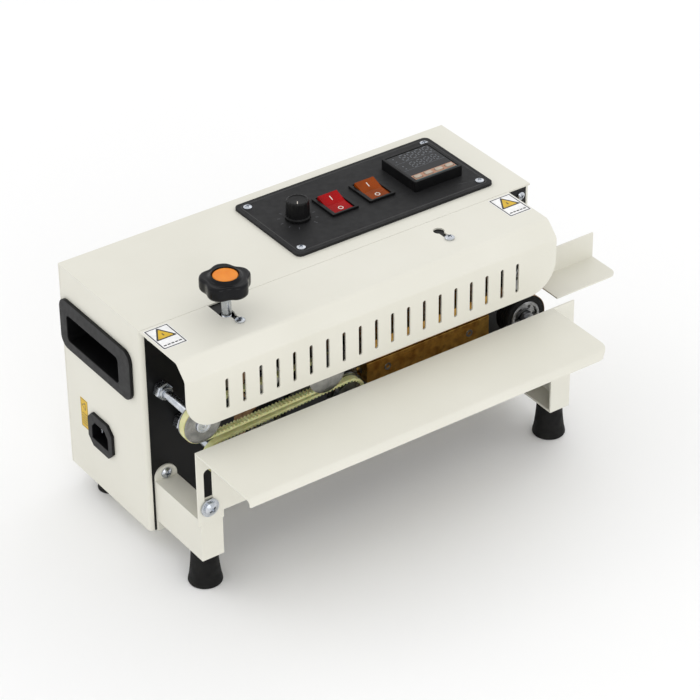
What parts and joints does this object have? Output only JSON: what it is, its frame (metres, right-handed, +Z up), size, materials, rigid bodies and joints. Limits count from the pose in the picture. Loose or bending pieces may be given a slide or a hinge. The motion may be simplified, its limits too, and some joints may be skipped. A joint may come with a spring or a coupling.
{
  "type": "continuous band sealer",
  "caption": "Table-top bag sealer: powered bands and toothed belts under a slotted hood, heated blocks, a height-adjustable tray, a sprung pressure knob and a top control panel.",
  "frame": {"origin": "on the table under the centre of the machine's bounding box", "axes": "+Z up, +X along the sealing line towards the infeed guide, +Y from the operator's side to the rear"},
  "size_m": [0.428, 0.265, 0.246],
  "materials": {
    "cream_paint": "satin powder coat",
    "black_paint": "satin powder coat",
    "panel_black": "matte",
    "rubber": "matte",
    "belt": "matte",
    "ptfe": "satin",
    "zinc": "zinc plated",
    "steel": "brushed",
    "alloy": "turned",
    "brass": "machined",
    "black_plastic": "satin",
    "gloss_black": "gloss",
    "orange_cap": "satin",
    "red_rocker": "translucent gloss",
    "amber_rocker": "translucent gloss",
    "display": "gloss",
    "key_grey": "satin",
    "board": "solder mask",
    "motor": "satin"
  },
  "bodies": {
    "frame": {"cabinet_shell": "cream_paint", "front_plate": "black_paint", "base_plate": "cream_paint", "rear_panel": "cream_paint", "rubber_feet": "rubber", "left_leg": "cream_paint", "right_leg": "cream_paint", "machine_screws": "zinc", "infeed_guide": "cream_paint", "hood_brackets": "black_paint", "handle_pockets": "black_plastic", "power_inlet": "black_plastic", "control_panel": "panel_black", "controller_case": "black_plastic", "controller_face": "display", "switch_housings": "black_plastic", "speed_potentiometer": "steel", "speed_board": "board", "pressure_bracket": "zinc", "upper_seal_band": "ptfe", "lower_seal_band": "ptfe", "guide_belts": "belt", "heater_blocks": "brass", "heater_cartridges": "steel", "cooling_blocks": "alloy", "block_arms": "zinc", "flanged_bushes": "brass", "fixed_axles": "zinc", "gear_motor": "motor", "drive_chain": "steel"},
    "tray_body": {"tray": "cream_paint"},
    "hood_body": {"hood": "cream_paint"},
    "knob_body": {"star_knob": "gloss_black", "star_knob_cap": "orange_cap", "pressure_stud": "zinc"},
    "seat_body": {"spring_seat": "zinc"},
    "carrier_body": {"pressure_carrier": "steel", "pressure_spring": "steel"},
    "upper_left_wheel_body": {"upper_left_wheel": "alloy", "upper_left_tyre": "rubber"},
    "lower_left_wheel_body": {"lower_left_wheel": "alloy", "lower_left_tyre": "rubber"},
    "upper_right_wheel_body": {"upper_right_wheel": "alloy", "upper_right_tyre": "rubber", "upper_right_shaft": "steel"},
    "lower_right_wheel_body": {"lower_right_wheel": "alloy", "lower_right_tyre": "rubber", "lower_right_shaft": "steel"},
    "upper_mid_pulley_body": {"upper_mid_pulley": "alloy"},
    "lower_mid_pulley_body": {"lower_mid_pulley": "alloy"},
    "upper_left_pulley_body": {"upper_left_pulley": "alloy"},
    "lower_left_pulley_body": {"lower_left_pulley": "alloy"},
    "pinion_body": {"drive_pinion": "steel"},
    "speed_knob_body": {"speed_knob": "black_plastic"},
    "power_rocker_body": {"power_rocker": "red_rocker"},
    "heat_rocker_body": {"heat_rocker": "amber_rocker"},
    "key_1_body": {"key_1": "key_grey"},
    "key_2_body": {"key_2": "key_grey"},
    "key_3_body": {"key_3": "key_grey"},
    "key_4_body": {"key_4": "key_grey"}
  },
  "joints": [
    {"name": "lower_right_spin", "type": "hinge", "parent": "frame", "child": "lower_right_wheel_body", "pos_m": [0.127, -0.0265, 0.1185], "axis": [0, 1, 0], "continuous": true},
    {"name": "upper_right_spin", "type": "hinge", "parent": "frame", "child": "upper_right_wheel_body", "pos_m": [0.127, -0.0265, 0.1585], "axis": [0, 1, 0], "continuous": true},
    {"name": "lower_left_spin", "type": "hinge", "parent": "frame", "child": "lower_left_wheel_body", "pos_m": [-0.129, -0.0265, 0.1185], "axis": [0, 1, 0], "continuous": true},
    {"name": "upper_left_spin", "type": "hinge", "parent": "carrier_body", "child": "upper_left_wheel_body", "pos_m": [-0.129, -0.0265, 0.1585], "axis": [0, 1, 0], "continuous": true},
    {"name": "lower_mid_spin", "type": "hinge", "parent": "frame", "child": "lower_mid_pulley_body", "pos_m": [-0.05877, -0.0265, 0.1234], "axis": [0, 1, 0], "continuous": true},
    {"name": "upper_mid_spin", "type": "hinge", "parent": "frame", "child": "upper_mid_pulley_body", "pos_m": [-0.081, -0.0265, 0.1536], "axis": [0, 1, 0], "continuous": true},
    {"name": "lower_left_pulley_spin", "type": "hinge", "parent": "frame", "child": "lower_left_pulley_body", "pos_m": [-0.179, -0.0455, 0.116], "axis": [0, 1, 0], "continuous": true},
    {"name": "upper_left_pulley_spin", "type": "hinge", "parent": "frame", "child": "upper_left_pulley_body", "pos_m": [-0.1953, -0.0455, 0.1523], "axis": [0, 1, 0], "continuous": true},
    {"name": "pinion_spin", "type": "hinge", "parent": "frame", "child": "pinion_body", "pos_m": [0.127, 0.0215, 0.0885], "axis": [0, 1, 0], "continuous": true},
    {"name": "carrier_slide", "type": "slide", "parent": "frame", "child": "carrier_body", "axis": [0, 0, 1], "range_m": [0, 0.003], "stiffness_N_per_m": 4000, "springref_m": -0.005, "deforming": ["upper_seal_band"]},
    {"name": "seat_slide", "type": "slide", "parent": "frame", "child": "seat_body", "axis": [0, 0, 1], "range_m": [-0.0025, 0.0025], "deforming": ["pressure_spring"]},
    {"name": "star_knob_turn", "type": "hinge", "parent": "seat_body", "child": "knob_body", "pos_m": [-0.1435, -0.0065, 0.23], "axis": [0, 0, 1], "range_deg": [-720, 720]},
    {"name": "tray_height", "type": "slide", "parent": "frame", "child": "tray_body", "axis": [0, 0, 1], "range_m": [-0.03, 0.003]},
    {"name": "hood_release", "type": "slide", "parent": "frame", "child": "hood_body", "axis": [0, -1, 0], "range_m": [0, 0.0145]},
    {"name": "speed_knob_turn", "type": "hinge", "parent": "frame", "child": "speed_knob_body", "pos_m": [-0.022, 0.0745, 0.22], "axis": [0, 0, 1], "range_deg": [-150, 150]},
    {"name": "power_rocker_tilt", "type": "hinge", "parent": "frame", "child": "power_rocker_body", "pos_m": [0.0144, 0.07435, 0.209], "axis": [-1, 0, 0], "range_deg": [0, 20]},
    {"name": "heat_rocker_tilt", "type": "hinge", "parent": "frame", "child": "heat_rocker_body", "pos_m": [0.0509, 0.07435, 0.209], "axis": [-1, 0, 0], "range_deg": [0, 20]},
    {"name": "key_1_press", "type": "slide", "parent": "frame", "child": "key_1_body", "axis": [0, 0, -1], "range_m": [0, 0.0005], "stiffness_N_per_m": 600, "springref_m": -0.0005},
    {"name": "key_2_press", "type": "slide", "parent": "frame", "child": "key_2_body", "axis": [0, 0, -1], "range_m": [0, 0.0005], "stiffness_N_per_m": 600, "springref_m": -0.0005},
    {"name": "key_3_press", "type": "slide", "parent": "frame", "child": "key_3_body", "axis": [0, 0, -1], "range_m": [0, 0.0005], "stiffness_N_per_m": 600, "springref_m": -0.0005},
    {"name": "key_4_press", "type": "slide", "parent": "frame", "child": "key_4_body", "axis": [0, 0, -1], "range_m": [0, 0.0005], "stiffness_N_per_m": 600, "springref_m": -0.0005}
  ],
  "couplings": [
    {"joint": "upper_right_spin", "follows": "lower_right_spin", "ratio": -1},
    {"joint": "lower_left_spin", "follows": "lower_right_spin", "ratio": 1},
    {"joint": "upper_left_spin", "follows": "lower_right_spin", "ratio": -1},
    {"joint": "lower_mid_spin", "follows": "lower_right_spin", "ratio": 1.3333},
    {"joint": "upper_mid_spin", "follows": "lower_right_spin", "ratio": -1.3333},
    {"joint": "lower_left_pulley_spin", "follows": "lower_right_spin", "ratio": 1.3333},
    {"joint": "upper_left_pulley_spin", "follows": "lower_right_spin", "ratio": -1.1667},
    {"joint": "pinion_spin", "follows": "lower_right_spin", "ratio": -2},
    {"joint": "seat_slide", "follows": "star_knob_turn", "m_per_rad": 0.00019894}
  ]
}
